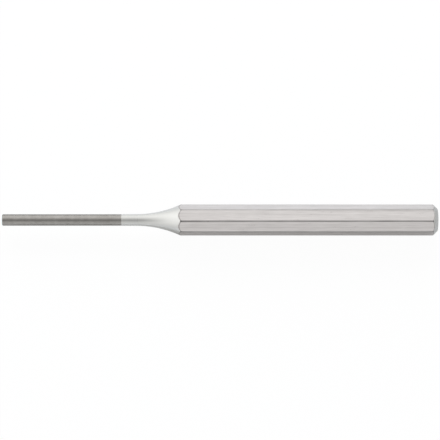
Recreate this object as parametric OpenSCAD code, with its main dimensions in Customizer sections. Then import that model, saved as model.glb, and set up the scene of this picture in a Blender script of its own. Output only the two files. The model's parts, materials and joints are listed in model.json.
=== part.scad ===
// Pin punch: an octagonal steel bar, turned down to a slim neck and pin and crowned at the head.
// It is plated all over except on the pin, which is ground bare to its size after plating.
// Millimetres. The punch lies on one flat, with its pin towards -X and its head towards +X.

/* [Overall] */
// Length from the tip of the pin to the top of the crowned head
punch_l = 150; // [110:1:200]

/* [Shank] */
// Distance across opposite flats of the plated octagonal shank
shank_af = 10; // [8:0.1:14]
// Radius that rounds the eight long corners of the shank
corner_r = 0.8; // [0.3:0.05:1.5]

/* [Pin] */
// Diameter of the ground pin
pin_d = 3.9; // [1.9:0.1:5.9]
// Bare length of the pin, from its tip to the edge of the plating
pin_l = 41; // [25:1:50]
// Chamfer round the tip of the pin
tip_chamfer = 0.2; // [0.1:0.05:0.4]
// Depth of steel that grinding takes off the pin, below the plating
grind_depth = 0.03; // [0.01:0.01:0.1]

/* [Neck] */
// Length of the neck between the pin and the flare
neck_l = 5.1; // [2:0.1:12]
// Growth of the neck's radius from the pin to the flare
neck_growth = 0.03; // [0.01:0.01:0.2]
// Radius of the hollow flare that widens the neck into the shank
flare_r = 36.5; // [20:0.5:60]

/* [Head] */
// Radius of the crown that the hammer strikes
crown_r = 32; // [20:0.5:60]
// Radius of the slightly convex bevel round the rim of the head
rim_r = 12; // [8:0.5:20]
// Length of the bevelled rim, measured from the shank's corners to the top of the crown
rim_l = 1.85; // [1.5:0.05:2.5]
// Slope at which the bevelled rim leaves the shank's corners, in degrees
rim_slope = 39; // [30:1:45]

/* [Plating] */
// Thickness of the nickel and chromium plating
plating_t = 0.02; // [0.01:0.005:0.05]

/* [Hidden] */
$fn = 180;

// How far a cutting shape runs past the surface that it cuts
overrun = 0.5;

// The shank's section: eight flats, and round corners about centres on one pitch circle
sides = 8;
side_angle = 360 / sides;
corner_angles = [for (k = [0 : sides - 1]) (k + 1 / 2) * side_angle];
corner_centre_r = (shank_af / 2 - corner_r) / cos(side_angle / 2);
reach_r = corner_centre_r + corner_r;

// The turned form: everything here is measured along the axis from the tip, and out from the axis
turned_r = reach_r + overrun;
pin_r = pin_d / 2;
neck_r = pin_r + grind_depth + plating_t;
flare_start = pin_l + neck_l;
flare_start_r = neck_r + neck_growth;
flare_centre_r = flare_start_r + flare_r;
crown_centre_l = punch_l - crown_r;
rim_centre_r = reach_r - rim_r * cos(rim_slope);
rim_centre_l = punch_l - rim_l - rim_r * sin(rim_slope);

function polar(r, angle) = r * [cos(angle), sin(angle)];

// Lays a form that stands on its tip along X, centred, with its lowest flat on the ground
module lay_down() {
    translate([-punch_l / 2, 0, shank_af / 2])
        rotate([0, 90, 0])
            children();
}

// Section of the shank, as deep under the plated surface as inset says
module shank_section(inset) {
    round_r = corner_r - inset;
    for (a = corner_angles)
        translate(polar(corner_centre_r, a))
            circle(round_r);
    polygon([
        for (a = corner_angles, side = [-1 / 2, 1 / 2])
            polar(corner_centre_r, a) + polar(round_r, a + side * side_angle)
    ]);
}

// Half outline of the slightly tapered neck, the hollow flare and the bar behind it
module neck_outline(inset) {
    polygon([
        [0, pin_l],
        [neck_r - inset, pin_l],
        [flare_start_r - inset, flare_start],
        [0, flare_start]
    ]);
    difference() {
        translate([0, flare_start])
            square([turned_r, punch_l - flare_start]);
        translate([flare_centre_r, flare_start])
            circle(flare_r + inset);
    }
}

// Half outline of the head: a shallow crown inside a bevelled rim, whose centre may lie across the axis
module head_outline(inset) {
    intersection() {
        union() {
            square([turned_r, crown_centre_l]);
            translate([0, crown_centre_l])
                circle(crown_r - inset);
        }
        union() {
            translate([-punch_l, 0])
                square([punch_l + rim_centre_r, punch_l]);
            square([turned_r, rim_centre_l]);
            translate([rim_centre_r, rim_centre_l])
                circle(rim_r - inset);
        }
    }
}

// The plated form without the pin: the turned form runs out across the flats in scallops
module punch_form(inset) {
    intersection() {
        translate([0, 0, pin_l])
            linear_extrude(punch_l - pin_l)
                shank_section(inset);
        rotate_extrude()
            intersection() {
                neck_outline(inset);
                head_outline(inset);
            }
    }
}

// The ground pin, with its root inside the neck
module pin() {
    rotate_extrude()
        polygon([
            [0, 0],
            [pin_r - tip_chamfer, 0],
            [pin_r, tip_chamfer],
            [pin_r, flare_start],
            [0, flare_start]
        ]);
}

// One piece of tool steel: pin, neck, shank and head
module steel_body() {
    color("dimgray")
        lay_down()
            union() {
                punch_form(plating_t);
                pin();
            }
}

// The plated skin over the neck, shank and head, open where the pin leaves it
module chrome_plating() {
    color("silver")
        lay_down()
            difference() {
                punch_form(0);
                punch_form(plating_t);
            }
}

steel_body();
chrome_plating();
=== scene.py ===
"""Pin punch on white paper: satin chrome over an octagonal steel bar, and a bare ground pin.

Lengths are in metres, in the part's own frame: +X runs from the pin to the head, and +Z is up.
"""
import json
import math

import bpy
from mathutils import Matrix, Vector


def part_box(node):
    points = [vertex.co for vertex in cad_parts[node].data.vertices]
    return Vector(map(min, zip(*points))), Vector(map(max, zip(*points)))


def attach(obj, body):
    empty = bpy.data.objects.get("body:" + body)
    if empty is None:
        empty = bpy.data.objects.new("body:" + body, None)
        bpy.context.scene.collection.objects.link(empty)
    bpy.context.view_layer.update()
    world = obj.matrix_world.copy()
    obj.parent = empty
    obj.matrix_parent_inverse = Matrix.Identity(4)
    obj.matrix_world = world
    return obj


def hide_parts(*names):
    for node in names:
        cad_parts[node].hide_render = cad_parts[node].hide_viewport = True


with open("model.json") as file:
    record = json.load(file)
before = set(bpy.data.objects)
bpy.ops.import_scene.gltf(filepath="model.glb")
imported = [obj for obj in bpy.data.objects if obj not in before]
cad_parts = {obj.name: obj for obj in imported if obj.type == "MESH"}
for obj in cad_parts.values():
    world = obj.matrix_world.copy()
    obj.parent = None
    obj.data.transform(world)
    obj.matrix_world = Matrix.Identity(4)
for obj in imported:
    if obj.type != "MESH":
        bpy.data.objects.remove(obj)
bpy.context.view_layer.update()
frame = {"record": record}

MM = 0.001
MICRON = 0.000001

# Sizes that the frame gives
plated_low, plated_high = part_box("chrome_plating")
steel_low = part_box("steel_body")[0]
mounts = {mount["name"]: mount for mount in frame["record"]["mounts"]}
# Hair's breadth by which the ends and flats stay inside the box, as merging the points rounds their places
HAIR = 0.1 * MICRON
TIP_X = steel_low.x + HAIR
PLATING_EDGE_X = plated_low.x
HEAD_X = plated_high.x - HAIR
PUNCH_L = HEAD_X - TIP_X
SHANK_AF = plated_high.z - plated_low.z - 2 * HAIR
AXIS_Z = (plated_low.z + plated_high.z) / 2
PIN_R = mounts["pin"]["dims"]["r_mm"] * MM

# Plating, and the step that grinding leaves between it and the pin
PLATING_T = 0.02 * MM
GRIND_DEPTH = 0.03 * MM
NECK_R = PIN_R + GRIND_DEPTH + PLATING_T

# Octagonal shank
SIDES = 8
SIDE_ANGLE = math.tau / SIDES
CORNER_R = 0.8 * MM
CORNER_CENTRE_R = (SHANK_AF / 2 - CORNER_R) / math.cos(SIDE_ANGLE / 2)
REACH_R = CORNER_CENTRE_R + CORNER_R
# Softness of the edges where the turned form runs out across the flats
EDGE_EASE = 0.12 * MM

# Pin's tip, and the neck and hollow flare behind the pin
TIP_CHAMFER = 0.2 * MM
NECK_L = 5.1 * MM
NECK_GROWTH = 0.03 * MM
FLARE_X = PLATING_EDGE_X + NECK_L
FLARE_START_R = NECK_R + NECK_GROWTH
FLARE_R = 36.5 * MM
FLARE_CENTRE_R = FLARE_START_R + FLARE_R
# Length of the flare, up to where it has run out into the bar's corners
FLARE_L = math.sqrt(FLARE_R ** 2 - (FLARE_CENTRE_R - REACH_R) ** 2)

# Crowned head with a bevelled rim, which is slightly convex
CROWN_R = 32 * MM
RIM_R = 12 * MM
RIM_L = 1.85 * MM
RIM_SLOPE = math.radians(39)
RIM_X = HEAD_X - RIM_L - RIM_R * math.sin(RIM_SLOPE)
RIM_CENTRE_R = REACH_R - RIM_R * math.cos(RIM_SLOPE)
CROWN_X = HEAD_X - CROWN_R

# Radius of the turned outline along the bar, clear of its corners
TURNED_CLEARANCE = 0.3 * MM
TURNED_R = REACH_R + TURNED_CLEARANCE

# Mesh steps along each stretch of the outlines
TIP_STEPS = 4
CHAMFER_STEPS = 2
PIN_STEPS = 12
NECK_STEPS = 4
FLARE_STEPS = 48
RUN_OUT_STEPS = 64
BAR_STEPS = 24
RIM_STEPS = 64
CROWN_STEPS = 24
# Share of the steps that is enough where the plating and the steel meet, out of sight
HIDDEN_FINENESS = 1 / 3
# Mesh steps along each flat and round each corner
FLAT_STEPS = 14
CORNER_STEPS = 8
# Fold past which an edge of the mesh stays sharp
CREASE_ANGLE = math.radians(30)

# Photograph's frame: its width and where the tip and the crown lie across it, in pixels, the camera's angle
# above the table, and its lens in millimetres
PHOTO_W = 440
TIP_PX = 2.38
CROWN_PX = 438.06
VIEW_ELEVATION = math.radians(71.8)
LENS_MM = 200

# Light tent: brightness of its walls, and how much more or less each side gives
TENT_LIGHT = 1.2
BACK_GAIN = 0.1
LEFT_GAIN = 0.43
RIGHT_LOSS = 0.39
FOOT_LOSS = 0.27
# Sines of the directions between which the left, the right and the foot of the walls fade in
LEFT_FROM = -0.17
LEFT_FULL = -0.65
RIGHT_FROM = 0.3
RIGHT_FULL = 0.9
FOOT_TOP = 0.53
# Opening that the camera looks in through: how dim it is, its half width and half height, and how far its
# middle lies below the camera, as sines
OPENING_LOSS = 0.75
OPENING_W = 0.83
OPENING_H = 1.01
OPENING_DROP = 0.07
# Light that the tent leaves to the table beside the key light
TABLE_LIGHT = 0.55

# Key light: a cool softbox behind the punch, which lights the table and isn't mirrored, in metres and watts
KEY_TILT_BACK = math.radians(65)
KEY_TILT_RIGHT = math.radians(-7)
KEY_DISTANCE = 1.2
KEY_W = 1.4
KEY_H = 0.7
KEY_POWER = 23
KEY_COLOUR = "#F3F8FF"

# Paper under the punch: its half size, thickness and how far past the head it ends, and the table's half size
PAPER_SIZE = 1.0
PAPER_T = 0.5 * MM
PAPER_MARGIN = 3.0 * MM
TABLE_SIZE = 4.0
# Their colours, and the share of plain white in them that the camera sees and that the metal mirrors
PAPER_COLOUR = "#F8F8F8"
TABLE_COLOUR = "#D1D1D1"
PAPER_EYE_SHARE = 0.96
TABLE_EYE_SHARE = 1.0
MIRRORED_SHARE = 0.05

# Satin chrome: darkest and palest colour where it was drawn and where it was turned, colour of the shade
# painted along its edges, least and most share of that painted shade, least and most roughness, and depth of
# the relief
DRAWN_CHROME = ("#C3BFBD", "#E3DFDD")
TURNED_CHROME = ("#CDCDCA", "#D5D5D2")
CHROME_EDGE_SHADE = "#4A4846"
EDGE_SHADE_RANGE = (0.44, 0.7)
CHROME_ROUGHNESS = (0.27, 0.35)
CHROME_RELIEF = 2.5 * MICRON
# How far onto the flats the painted shade along their ends lies, as a share of the edges' softness, and how
# much more, and how far along, the corners are painted darker behind the flare
FLAT_END_SHARE = 1.1
EDGE_SHADE_FROM_X = FLARE_X + FLARE_L
EDGE_SHADE_GAIN = 0.5
EDGE_SHADE_L = 9 * MM
# Marks of drawing and turning, as length along the bar and width across it, and sizes of the plating's grain
# and clouds. Real lines, rings and grain are hundredths of a millimetre fine, so these are as coarse as they
# need to be to show
DRAWN_LINE = (6 * MM, 0.5 * MM)
DRAWN_STREAK = (90 * MM, 0.8 * MM)
TURNING_RING = (0.35 * MM, 20 * MM)
CHROME_GRAIN = 0.3 * MM
CHROME_CLOUD = 9 * MM
# Share of the grain in the relief of the flats, height of the rings beside that relief, and share of the
# lines in the colour of the flats
GRAIN_SHARE = 0.35
RING_HEIGHT = 0.35
LINE_SHARE = 0.45

# Ground steel: darkest and palest colour, least and most roughness, depth of the relief, and tint at grazing
# angles
GROUND_STEEL = ("#96938F", "#ACA9A5")
STEEL_ROUGHNESS = (0.18, 0.24)
STEEL_RELIEF = 2 * MICRON
STEEL_GRAZING = "#A0A0A0"
# Grinding marks, bands of them and stains, as length along the bar and width across it, and share of the
# stains in the colour. The grit leaves marks too fine to show, so these are drawn coarser
GRINDING_MARK = (0.3 * MM, 12 * MM)
GRINDING_BAND = (2.5 * MM, 30 * MM)
STAIN = (1.5 * MM, 0.8 * MM)
STAIN_SHARE = 0.5

# Noise values between which most of a noise lies
NOISE_LOW = 0.3
NOISE_HIGH = 0.7


def linear(hex_colour):
    """Linear RGBA of an sRGB hex colour."""
    channels = [int(hex_colour[i:i + 2], 16) / 255 for i in (1, 3, 5)]
    return [c / 12.92 if c <= 0.04045 else ((c + 0.055) / 1.055) ** 2.4 for c in channels] + [1.0]


def add(tree, kind, inputs=None, **settings):
    """Adds a node: settings are its own properties, and inputs are values, sockets or nodes that feed it.

    Inputs go by name, or by number where several sockets share a name. On a mix node, 0 is the share, 2 and 3
    are the numbers that it mixes, and 6 and 7 the colours, with the mixed colour at output 2.
    """
    node = tree.nodes.new(kind)
    for name, value in settings.items():
        setattr(node, name, value)
    for key, value in (inputs or {}).items():
        if isinstance(value, bpy.types.Node):
            value = value.outputs[0]
        if isinstance(value, bpy.types.NodeSocket):
            tree.links.new(value, node.inputs[key])
        else:
            node.inputs[key].default_value = value
    return node


# Outlines: points (station along X, radius), from the pin's end to the head's end

def arc(centre_x, centre_r, radius, start, end, steps):
    """Points on an arc, from one angle to another, measured from +X towards larger radii."""
    angles = [start + (end - start) * i / steps for i in range(steps + 1)]
    return [(centre_x + radius * math.cos(a), centre_r + radius * math.sin(a)) for a in angles]


def run(start, end, steps):
    """Points on a straight stretch, with its start and without its end."""
    shares = [i / steps for i in range(steps)]
    return [tuple(a + (b - a) * share for a, b in zip(start, end)) for share in shares]


def rim_end_angles(depth):
    """Angles on the rim and on the crown at which the one runs into the other."""
    rim_r = RIM_R - depth
    crown_r = CROWN_R - depth
    between = Vector((RIM_X - CROWN_X, RIM_CENTRE_R))
    apart = between.length
    tilt = math.atan2(between.y, between.x)
    at_crown = math.acos((apart ** 2 + crown_r ** 2 - rim_r ** 2) / (2 * apart * crown_r))
    meet_x = crown_r * math.cos(tilt + at_crown) - between.x
    meet_r = crown_r * math.sin(tilt + at_crown) - between.y
    return math.atan2(meet_r, meet_x), tilt + at_crown


def plated_outline(depth, fineness):
    """Outline of the neck, flare, bar and head at a depth under the plated surface, as (x, r, depth)."""
    flare_r = FLARE_R + depth
    flare_start = -math.pi / 2
    scallop = flare_start + math.acos((FLARE_CENTRE_R - SHANK_AF / 2 + EDGE_EASE) / FLARE_R)
    flare_end = flare_start + math.acos((FLARE_CENTRE_R - TURNED_R) / FLARE_R)
    rim_start = math.asin((TURNED_R - depth - RIM_CENTRE_R) / (RIM_R - depth))
    rim_end, crown_start = rim_end_angles(depth)
    neck = run((PLATING_EDGE_X, NECK_R - depth), (FLARE_X, FLARE_START_R - depth), NECK_STEPS)
    flare = arc(FLARE_X, FLARE_CENTRE_R, flare_r, flare_start, scallop, round(FLARE_STEPS * fineness))
    run_out = arc(FLARE_X, FLARE_CENTRE_R, flare_r, scallop, flare_end, round(RUN_OUT_STEPS * fineness))
    rim = arc(RIM_X, RIM_CENTRE_R, RIM_R - depth, rim_start, rim_end, round(RIM_STEPS * fineness))
    bar = run(run_out[-1], rim[0], round(BAR_STEPS * fineness))
    crown = arc(CROWN_X, 0, CROWN_R - depth, crown_start, 0, round(CROWN_STEPS * fineness))
    points = neck + flare + run_out[1:] + bar[1:] + rim + crown[1:]
    return [(x, r, depth) for x, r in points]


def pin_outline():
    """Outline of the bare pin, from the middle of its tip to its root, as (x, r, depth)."""
    tip_edge = (TIP_X, PIN_R - TIP_CHAMFER)
    chamfer_end = (TIP_X + TIP_CHAMFER, PIN_R)
    root = (PLATING_EDGE_X, PIN_R)
    tip = run((TIP_X, 0), tip_edge, TIP_STEPS)
    chamfer = run(tip_edge, chamfer_end, CHAMFER_STEPS)
    pin = run(chamfer_end, root, PIN_STEPS)
    return [(x, r, PLATING_T) for x, r in tip + chamfer + pin + [root]]


# Form: an outline swept round the axis and cut by the octagonal bar

FORM_INPUTS = {
    "Outline": "NodeSocketGeometry",
    "Across Flats": "NodeSocketFloat",
    "Corner Radius": "NodeSocketFloat",
    "Edge Ease": "NodeSocketFloat",
    "Axis Height": "NodeSocketFloat",
    "Flat Steps": "NodeSocketInt",
    "Corner Steps": "NodeSocketInt",
    "Finish": "NodeSocketMaterial",
}


def turned_bar_tree():
    """Tree that turns an outline into a closed form: each column of points is one angle round the bar.

    The turned radius gives way to the bar's own radius where that is smaller, so the flare and the rim run
    out in scallops across the flats, as they do when an octagonal bar is turned in a lathe.
    """
    tree = bpy.data.node_groups.new("turned_bar", "GeometryNodeTree")
    for name, kind in FORM_INPUTS.items():
        tree.interface.new_socket(name, in_out="INPUT", socket_type=kind)
    tree.interface.new_socket("Form", in_out="OUTPUT", socket_type="NodeSocketGeometry")
    given = add(tree, "NodeGroupInput").outputs

    # Grid of points: a row for each point of the outline, a column for each step round the bar, and one more
    # column to close it
    side_steps = add(tree, "FunctionNodeIntegerMath", {0: given["Flat Steps"], 1: given["Corner Steps"]})
    columns = add(tree, "FunctionNodeIntegerMath", {0: side_steps, 1: SIDES, 2: 1}, operation="MULTIPLY_ADD")
    rows = add(tree, "GeometryNodeAttributeDomainSize", {0: given["Outline"]}).outputs["Point Count"]
    grid = add(tree, "GeometryNodeMeshGrid", {"Vertices X": rows, "Vertices Y": columns})
    index = add(tree, "GeometryNodeInputIndex")
    row = add(tree, "FunctionNodeIntegerMath", {0: index, 1: columns}, operation="DIVIDE_FLOOR")
    column = add(tree, "FunctionNodeIntegerMath", {0: index, 1: columns}, operation="FLOORED_MODULO")
    side = add(tree, "FunctionNodeIntegerMath", {0: column, 1: side_steps}, operation="DIVIDE_FLOOR")
    step = add(tree, "FunctionNodeIntegerMath", {0: column, 1: side_steps}, operation="FLOORED_MODULO")

    # Station, turned radius and depth of each row
    place = add(tree, "GeometryNodeInputPosition")
    chart = add(tree, "GeometryNodeSampleIndex", {"Geometry": given["Outline"], "Value": place, "Index": row},
                data_type="FLOAT_VECTOR")
    station, turned_r, depth = add(tree, "ShaderNodeSeparateXYZ", {0: chart}).outputs

    # Bar's section: along a flat, then round the corner after it
    along = add(tree, "ShaderNodeMapRange", {"Value": step, "From Max": given["Flat Steps"], "To Min": -1.0})
    bend = add(tree, "ShaderNodeMapRange", {"Value": step, "From Min": given["Flat Steps"],
                                            "From Max": side_steps, "To Max": SIDE_ANGLE})
    half_af = add(tree, "ShaderNodeMath", {0: given["Across Flats"], 1: 0.5}, operation="MULTIPLY")
    corner_out = add(tree, "ShaderNodeMath", {0: half_af, 1: given["Corner Radius"]}, operation="SUBTRACT")
    half_flat = add(tree, "ShaderNodeMath", {0: corner_out, 1: math.tan(SIDE_ANGLE / 2)},
                    operation="MULTIPLY")
    round_r = add(tree, "ShaderNodeMath", {0: given["Corner Radius"], 1: depth}, operation="SUBTRACT")
    sine = add(tree, "ShaderNodeMath", {0: bend}, operation="SINE")
    cosine = add(tree, "ShaderNodeMath", {0: bend}, operation="COSINE")
    round_across = add(tree, "ShaderNodeMath", {0: sine, 1: round_r}, operation="MULTIPLY")
    across = add(tree, "ShaderNodeMath", {0: along, 1: half_flat, 2: round_across}, operation="MULTIPLY_ADD")
    out = add(tree, "ShaderNodeMath", {0: cosine, 1: round_r, 2: corner_out}, operation="MULTIPLY_ADD")
    section = add(tree, "ShaderNodeCombineXYZ", {0: across, 1: out})
    bar_r = add(tree, "ShaderNodeVectorMath", {0: section}, operation="LENGTH").outputs["Value"]
    local_angle = add(tree, "ShaderNodeMath", {0: across, 1: out}, operation="ARCTAN2")
    angle = add(tree, "ShaderNodeMath", {0: side, 1: SIDE_ANGLE, 2: local_angle}, operation="MULTIPLY_ADD")

    # Smaller of the two radii, eased where they cross
    radius = add(tree, "ShaderNodeMath", {0: turned_r, 1: bar_r, 2: given["Edge Ease"]},
                 operation="SMOOTH_MIN")
    angle_sine = add(tree, "ShaderNodeMath", {0: angle}, operation="SINE")
    angle_cosine = add(tree, "ShaderNodeMath", {0: angle}, operation="COSINE")
    y = add(tree, "ShaderNodeMath", {0: radius, 1: angle_sine}, operation="MULTIPLY")
    z = add(tree, "ShaderNodeMath", {0: radius, 1: angle_cosine, 2: given["Axis Height"]},
            operation="MULTIPLY_ADD")
    point = add(tree, "ShaderNodeCombineXYZ", {0: station, 1: y, 2: z})
    swept = add(tree, "GeometryNodeSetPosition", {"Geometry": grid, "Position": point})

    # Share of turning: 1 where a lathe cut the surface and 0 on the drawn flats
    proud = add(tree, "ShaderNodeMath", {0: bar_r, 1: turned_r}, operation="SUBTRACT")
    edge_low = add(tree, "ShaderNodeMath", {0: given["Edge Ease"], 1: -0.5}, operation="MULTIPLY")
    edge_high = add(tree, "ShaderNodeMath", {0: given["Edge Ease"], 1: 0.5}, operation="MULTIPLY")
    turned = add(tree, "ShaderNodeMapRange", {"Value": proud, "From Min": edge_low, "From Max": edge_high})
    marked = add(tree, "GeometryNodeStoreNamedAttribute", {"Geometry": swept, "Name": "turned",
                                                           "Value": turned})

    # Share of edge, which marks where the chrome's colour is painted darker as shade: 1 on the crest of the
    # bar's corners and along the flats' ends, more where these meet and behind the flare, and 0 on the
    # surfaces between
    crest_angle = add(tree, "ShaderNodeMath", {0: bend, 1: math.pi / SIDE_ANGLE}, operation="MULTIPLY")
    crest = add(tree, "ShaderNodeMath", {0: crest_angle}, operation="SINE")
    drawn = add(tree, "ShaderNodeMath", {0: 1.0, 1: turned}, operation="SUBTRACT")
    drawn_crest = add(tree, "ShaderNodeMath", {0: crest, 1: drawn}, operation="MULTIPLY")
    near_flare = add(tree, "ShaderNodeMapRange", {"Value": station, "From Min": EDGE_SHADE_FROM_X,
                                                  "From Max": EDGE_SHADE_FROM_X + EDGE_SHADE_L,
                                                  "To Min": 1.0 + EDGE_SHADE_GAIN, "To Max": 1.0})
    corner = add(tree, "ShaderNodeMath", {0: drawn_crest, 1: near_flare}, operation="MULTIPLY")
    off_end = add(tree, "ShaderNodeMath", {0: given["Edge Ease"], 1: FLAT_END_SHARE, 2: proud},
                  operation="MULTIPLY_ADD")
    apart = add(tree, "ShaderNodeMath", {0: off_end}, operation="ABSOLUTE")
    flat_end = add(tree, "ShaderNodeMapRange", {"Value": apart, "From Max": given["Edge Ease"],
                                                "To Min": 1.0, "To Max": 0.0},
                   interpolation_type="SMOOTHSTEP")
    edge = add(tree, "ShaderNodeMath", {0: corner, 1: flat_end}, operation="ADD")
    marked = add(tree, "GeometryNodeStoreNamedAttribute", {"Geometry": marked, "Name": "edge", "Value": edge})

    # Closed seam and poles, with sharp edges where faces meet steeply
    closed = add(tree, "GeometryNodeMergeByDistance", {"Geometry": marked, "Distance": MICRON})
    fold = add(tree, "GeometryNodeInputMeshEdgeAngle").outputs["Unsigned Angle"]
    steep = add(tree, "FunctionNodeCompare", {"A": fold, "B": CREASE_ANGLE}, operation="GREATER_THAN")
    smooth = add(tree, "GeometryNodeSetShadeSmooth", {"Geometry": closed})
    creased = add(tree, "GeometryNodeSetShadeSmooth", {"Geometry": smooth, "Selection": steep,
                                                       "Shade Smooth": False}, domain="EDGE")
    realized = add(tree, "GeometryNodeRealizeInstances", {"Geometry": creased})
    finished = add(tree, "GeometryNodeSetMaterial", {"Geometry": realized, "Material": given["Finish"]})
    add(tree, "NodeGroupOutput", {"Form": finished})
    return tree


def turned_bar(name, outline, tree, finish):
    """Piece made from an outline by the tree, as a plain mesh at the origin."""
    chart = bpy.data.meshes.new(name + "_outline")
    chart.from_pydata(outline, [(i, i + 1) for i in range(len(outline) - 1)], [])
    piece = bpy.data.objects.new(name, chart)
    bpy.context.scene.collection.objects.link(piece)
    sizes = {
        "Across Flats": SHANK_AF,
        "Corner Radius": CORNER_R,
        "Edge Ease": EDGE_EASE,
        "Axis Height": AXIS_Z,
        "Flat Steps": FLAT_STEPS,
        "Corner Steps": CORNER_STEPS,
        "Finish": finish,
    }
    modifier = piece.modifiers.new("turned_bar", "NODES")
    modifier.node_group = tree
    for socket in tree.interface.items_tree:
        if socket.in_out == "INPUT" and socket.name in sizes:
            modifier[socket.identifier] = sizes[socket.name]
    depsgraph = bpy.context.evaluated_depsgraph_get()
    mesh = bpy.data.meshes.new_from_object(piece.evaluated_get(depsgraph), preserve_all_data_layers=True,
                                           depsgraph=depsgraph)
    piece.modifiers.remove(modifier)
    piece.data = mesh
    mesh.name = name
    bpy.data.meshes.remove(chart)
    return piece


# Materials

def marks(size):
    """Scale of a pattern whose marks have this length along the bar and this width across it."""
    along, across = size
    return (1 / along, 1 / across, 1 / across)


def satin_chrome():
    """Nickel and chromium plating over a drawn bar: a soft grey gloss that blurs what it mirrors.

    Faint lines and streaks from drawing run along the flats, fine turning lines run round the neck, flare and
    head, and the corners and the flats' ends are painted darker, as painted shade and painted dark
    reflection.
    """
    material = bpy.data.materials.new("satin_chrome_plating")
    material.use_nodes = True
    tree = material.node_tree
    tree.nodes.clear()
    place = add(tree, "ShaderNodeTexCoord").outputs["Object"]
    turned = add(tree, "ShaderNodeAttribute", attribute_name="turned").outputs["Fac"]
    edge = add(tree, "ShaderNodeAttribute", attribute_name="edge").outputs["Fac"]

    drawn_place = add(tree, "ShaderNodeMapping", {"Vector": place, "Scale": marks(DRAWN_LINE)})
    drawn = add(tree, "ShaderNodeTexNoise", {"Vector": drawn_place, "Scale": 1.0, "Detail": 3.0,
                                             "Roughness": 0.6})
    streak_place = add(tree, "ShaderNodeMapping", {"Vector": place, "Scale": marks(DRAWN_STREAK)})
    streaks = add(tree, "ShaderNodeTexNoise", {"Vector": streak_place, "Scale": 1.0, "Detail": 2.0})
    ring_place = add(tree, "ShaderNodeMapping", {"Vector": place, "Scale": marks(TURNING_RING)})
    rings = add(tree, "ShaderNodeTexNoise", {"Vector": ring_place, "Scale": 1.0, "Detail": 3.0,
                                             "Roughness": 0.6})
    grain = add(tree, "ShaderNodeTexNoise", {"Vector": place, "Scale": 1 / CHROME_GRAIN, "Detail": 2.0})
    clouds = add(tree, "ShaderNodeTexNoise", {"Vector": place, "Scale": 1 / CHROME_CLOUD, "Detail": 2.0})

    # Relief: lines and grain on the flats, and fainter rings where the bar was turned
    drawn_height = add(tree, "ShaderNodeMix", {0: GRAIN_SHARE, 2: drawn, 3: grain})
    ring_height = add(tree, "ShaderNodeMath", {0: rings, 1: RING_HEIGHT}, operation="MULTIPLY")
    height = add(tree, "ShaderNodeMix", {0: turned, 2: drawn_height, 3: ring_height})
    bump = add(tree, "ShaderNodeBump", {"Strength": 1.0, "Distance": CHROME_RELIEF, "Height": height})

    # Colour: streaks and lines on the flats, clouds where it was turned, and painted shade along the edges
    drawn_mix = add(tree, "ShaderNodeMix", {0: LINE_SHARE, 2: streaks, 3: drawn})
    drawn_shade = add(tree, "ShaderNodeMapRange", {"Value": drawn_mix, "From Min": NOISE_LOW,
                                                   "From Max": NOISE_HIGH})
    dark, pale = DRAWN_CHROME
    drawn_colour = add(tree, "ShaderNodeMix", {0: drawn_shade, 6: linear(dark), 7: linear(pale)},
                       data_type="RGBA")
    dark, pale = TURNED_CHROME
    turned_colour = add(tree, "ShaderNodeMix", {0: clouds, 6: linear(dark), 7: linear(pale)},
                        data_type="RGBA")
    colour = add(tree, "ShaderNodeMix", {0: turned, 6: drawn_colour.outputs[2], 7: turned_colour.outputs[2]},
                 data_type="RGBA")
    # Painted shade: the edges darken towards a dark grey, by an amount that the clouds vary
    least, most = EDGE_SHADE_RANGE
    edge_shade_amount = add(tree, "ShaderNodeMapRange", {"Value": clouds, "From Min": NOISE_LOW, "From Max": NOISE_HIGH,
                                            "To Min": least, "To Max": most})
    edge_shade_share = add(tree, "ShaderNodeMath", {0: edge, 1: edge_shade_amount}, operation="MULTIPLY")
    edge_shaded = add(tree, "ShaderNodeMix", {0: edge_shade_share, 6: colour.outputs[2], 7: linear(CHROME_EDGE_SHADE)},
               data_type="RGBA")

    # Roughness: uneven along the same lines and rings
    lines = add(tree, "ShaderNodeMix", {0: turned, 2: drawn, 3: rings})
    least, most = CHROME_ROUGHNESS
    roughness = add(tree, "ShaderNodeMapRange", {"Value": lines, "From Min": NOISE_LOW,
                                                 "From Max": NOISE_HIGH, "To Min": least, "To Max": most})
    shader = add(tree, "ShaderNodeBsdfPrincipled", {"Base Color": edge_shaded.outputs[2], "Metallic": 1.0,
                                                    "Roughness": roughness, "Normal": bump})
    add(tree, "ShaderNodeOutputMaterial", {"Surface": shader})
    return material


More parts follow.
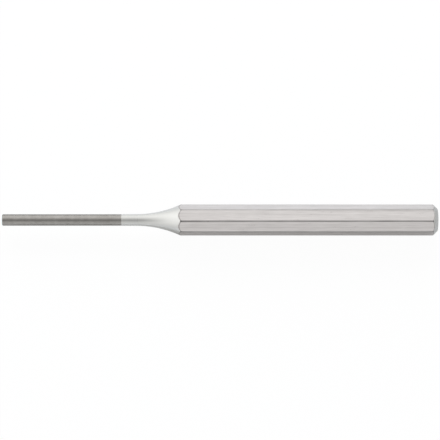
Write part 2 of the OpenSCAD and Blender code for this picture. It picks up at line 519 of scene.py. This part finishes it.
def ground_steel():
    """Chrome vanadium steel, ground round and left bare: darker and warmer than the chrome, a little stained.

    Grinding marks run round it, and it dulls towards its outline.
    """
    material = bpy.data.materials.new("ground_tool_steel")
    material.use_nodes = True
    tree = material.node_tree
    tree.nodes.clear()
    place = add(tree, "ShaderNodeTexCoord").outputs["Object"]

    mark_place = add(tree, "ShaderNodeMapping", {"Vector": place, "Scale": marks(GRINDING_MARK)})
    ground = add(tree, "ShaderNodeTexNoise", {"Vector": mark_place, "Scale": 1.0, "Detail": 4.0,
                                              "Roughness": 0.65})
    band_place = add(tree, "ShaderNodeMapping", {"Vector": place, "Scale": marks(GRINDING_BAND)})
    bands = add(tree, "ShaderNodeTexNoise", {"Vector": band_place, "Scale": 1.0, "Detail": 3.0})
    stain_place = add(tree, "ShaderNodeMapping", {"Vector": place, "Scale": marks(STAIN)})
    stains = add(tree, "ShaderNodeTexNoise", {"Vector": stain_place, "Scale": 1.0, "Detail": 2.0})

    # Relief and roughness from the marks, and colour from the bands and stains
    bump = add(tree, "ShaderNodeBump", {"Strength": 1.0, "Distance": STEEL_RELIEF, "Height": ground})
    mixed = add(tree, "ShaderNodeMix", {0: STAIN_SHARE, 2: bands, 3: stains})
    shade = add(tree, "ShaderNodeMapRange", {"Value": mixed, "From Min": NOISE_LOW, "From Max": NOISE_HIGH})
    dark, pale = GROUND_STEEL
    colour = add(tree, "ShaderNodeMix", {0: shade, 6: linear(dark), 7: linear(pale)}, data_type="RGBA")
    least, most = STEEL_ROUGHNESS
    roughness = add(tree, "ShaderNodeMapRange", {"Value": ground, "From Min": NOISE_LOW,
                                                 "From Max": NOISE_HIGH, "To Min": least, "To Max": most})
    shader = add(tree, "ShaderNodeBsdfPrincipled", {"Base Color": colour.outputs[2], "Metallic": 1.0,
                                                    "Roughness": roughness, "Normal": bump,
                                                    "Specular Tint": linear(STEEL_GRAZING)})
    add(tree, "ShaderNodeOutputMaterial", {"Surface": shader})
    return material


def matt_white(name, hex_colour, eye_share):
    """Matt paper or board, whitened to the eye by a share that leaves a pale shadow, and a bit in metal."""
    material = bpy.data.materials.new(name)
    material.use_nodes = True
    tree = material.node_tree
    tree.nodes.clear()
    path = add(tree, "ShaderNodeLightPath").outputs
    mirrored = add(tree, "ShaderNodeMath", {0: path["Is Glossy Ray"], 1: path["Is Transmission Ray"]},
                   operation="MAXIMUM")
    mirrored_white = add(tree, "ShaderNodeMath", {0: mirrored, 1: MIRRORED_SHARE}, operation="MULTIPLY")
    white_share = add(tree, "ShaderNodeMath", {0: path["Is Camera Ray"], 1: eye_share, 2: mirrored_white},
                      operation="MULTIPLY_ADD")
    matt = add(tree, "ShaderNodeBsdfDiffuse", {"Color": linear(hex_colour)})
    white = add(tree, "ShaderNodeEmission", {"Color": linear("#FFFFFF"), "Strength": 1.0})
    shader = add(tree, "ShaderNodeMixShader", {0: white_share, 1: matt, 2: white})
    add(tree, "ShaderNodeOutputMaterial", {"Surface": shader})
    return material


# Stage: paper and table, light tent, key light and camera

def sheet(name, low, high, z, material):
    """Flat sheet of the stage, from one corner to the other."""
    mesh = bpy.data.meshes.new(name)
    corners = [(low[0], low[1], z), (high[0], low[1], z), (high[0], high[1], z), (low[0], high[1], z)]
    mesh.from_pydata(corners, [], [(0, 1, 2, 3)])
    mesh.materials.append(material)
    flat = bpy.data.objects.new(name, mesh)
    bpy.context.scene.collection.objects.link(flat)


def light_tent():
    """White tent round the table: brightest at the left, dimmer at the right, at its foot and at its opening.

    The camera looks in through the opening, and sees the tent itself plain white.
    """
    world = bpy.data.worlds.new("light_tent")
    world.use_nodes = True
    tree = world.node_tree
    tree.nodes.clear()
    direction = add(tree, "ShaderNodeTexCoord").outputs["Generated"]
    right, back, up = add(tree, "ShaderNodeSeparateXYZ", {0: direction}).outputs

    # Walls
    walls = add(tree, "ShaderNodeMath", {0: back, 1: BACK_GAIN, 2: TENT_LIGHT}, operation="MULTIPLY_ADD")
    foot_loss = add(tree, "ShaderNodeMapRange", {"Value": up, "From Max": FOOT_TOP, "To Min": FOOT_LOSS,
                                                 "To Max": 0.0})
    walls = add(tree, "ShaderNodeMath", {0: walls, 1: foot_loss}, operation="SUBTRACT")
    left_gain = add(tree, "ShaderNodeMapRange", {"Value": right, "From Min": LEFT_FROM,
                                                 "From Max": LEFT_FULL, "To Max": LEFT_GAIN})
    walls = add(tree, "ShaderNodeMath", {0: left_gain, 1: up, 2: walls}, operation="MULTIPLY_ADD")
    right_loss = add(tree, "ShaderNodeMapRange", {"Value": right, "From Min": RIGHT_FROM,
                                                  "From Max": RIGHT_FULL, "To Max": RIGHT_LOSS})
    walls = add(tree, "ShaderNodeMath", {0: walls, 1: right_loss}, operation="SUBTRACT")

    # Opening, dimmest in its middle
    down_the_view = (0, -math.sin(VIEW_ELEVATION), -math.cos(VIEW_ELEVATION))
    below = add(tree, "ShaderNodeVectorMath", {0: direction, 1: down_the_view}, operation="DOT_PRODUCT")
    beside = add(tree, "ShaderNodeMath", {0: right, 1: OPENING_W}, operation="DIVIDE")
    below = add(tree, "ShaderNodeMath", {0: below.outputs["Value"], 1: OPENING_DROP}, operation="SUBTRACT")
    below = add(tree, "ShaderNodeMath", {0: below, 1: OPENING_H}, operation="DIVIDE")
    offset = add(tree, "ShaderNodeCombineXYZ", {0: beside, 1: below})
    square = add(tree, "ShaderNodeVectorMath", {0: offset, 1: offset}, operation="DOT_PRODUCT")
    inside = add(tree, "ShaderNodeMapRange", {"Value": square.outputs["Value"], "To Min": 1.0, "To Max": 0.0})
    opening = add(tree, "ShaderNodeMath", {0: inside, 1: 2.0}, operation="POWER")
    walls = add(tree, "ShaderNodeMath", {0: opening, 1: -OPENING_LOSS, 2: walls}, operation="MULTIPLY_ADD")

    # Metal mirrors the walls, the table takes their even light, and the eye sees white
    path = add(tree, "ShaderNodeLightPath").outputs
    eye = add(tree, "ShaderNodeMath", {0: path["Is Camera Ray"], 1: path["Is Transmission Ray"]},
              operation="MAXIMUM")
    seen = add(tree, "ShaderNodeMix", {0: path["Is Glossy Ray"], 2: TABLE_LIGHT, 3: walls})
    strength = add(tree, "ShaderNodeMix", {0: eye, 2: seen, 3: 1.0})
    cloth = add(tree, "ShaderNodeBackground", {"Color": linear("#FFFFFF"), "Strength": strength})
    add(tree, "ShaderNodeOutputWorld", {"Surface": cloth})
    bpy.context.scene.world = world


def key_light():
    """Softbox that faces the punch from behind."""
    toward = Vector((math.sin(KEY_TILT_RIGHT), math.cos(KEY_TILT_RIGHT) * math.sin(KEY_TILT_BACK),
                     math.cos(KEY_TILT_RIGHT) * math.cos(KEY_TILT_BACK)))
    lamp = bpy.data.lights.new("key_light", "AREA")
    lamp.shape = "RECTANGLE"
    lamp.size = KEY_W
    lamp.size_y = KEY_H
    lamp.color = linear(KEY_COLOUR)[:3]
    lamp.energy = KEY_POWER
    box = bpy.data.objects.new("key_light", lamp)
    box.location = toward * KEY_DISTANCE
    box.rotation_mode = "QUATERNION"
    box.rotation_quaternion = toward.to_track_quat("Z", "Y")
    box.visible_glossy = False
    box.visible_camera = False
    bpy.context.scene.collection.objects.link(box)


def camera():
    """Long lens above and a little in front of the punch, framed as the photograph is."""
    px = PUNCH_L / (CROWN_PX - TIP_PX)
    middle_px = (TIP_PX + CROWN_PX) / 2
    middle_x = (TIP_X + HEAD_X) / 2
    aim = Vector((middle_x + (PHOTO_W / 2 - middle_px) * px, 0, AXIS_Z))
    lens = bpy.data.cameras.new("long_lens")
    lens.lens = LENS_MM
    distance = PHOTO_W * px * lens.lens / lens.sensor_width
    toward = Vector((0, -math.cos(VIEW_ELEVATION), math.sin(VIEW_ELEVATION)))
    eye = bpy.data.objects.new("camera", lens)
    eye.location = aim + toward * distance
    eye.rotation_mode = "QUATERNION"
    eye.rotation_quaternion = (-toward).to_track_quat("-Z", "Y")
    bpy.context.scene.collection.objects.link(eye)
    bpy.context.scene.camera = eye


camera()
white_paper = matt_white("white_paper", PAPER_COLOUR, PAPER_EYE_SHARE)
sheet("paper", (-PAPER_SIZE, -PAPER_SIZE), (HEAD_X + PAPER_MARGIN, PAPER_SIZE), 0, white_paper)
grey_table = matt_white("grey_table", TABLE_COLOUR, TABLE_EYE_SHARE)
sheet("table", (-TABLE_SIZE, -TABLE_SIZE), (TABLE_SIZE, TABLE_SIZE), -PAPER_T, grey_table)
light_tent()
key_light()
bpy.context.scene.view_settings.view_transform = "Standard"

form = turned_bar_tree()
plating_wall = plated_outline(0, 1)[::-1] + plated_outline(PLATING_T, HIDDEN_FINENESS)
plating = turned_bar("plated_shank", plating_wall, form, satin_chrome())
steel_outline = pin_outline() + plated_outline(PLATING_T, HIDDEN_FINENESS)
steel = turned_bar("steel_bar", steel_outline, form, ground_steel())

for piece, node, slot in ((plating, "chrome_plating", "satin_chrome"), (steel, "steel_body", "ground_steel")):
    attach(piece, "root")
    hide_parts(node)
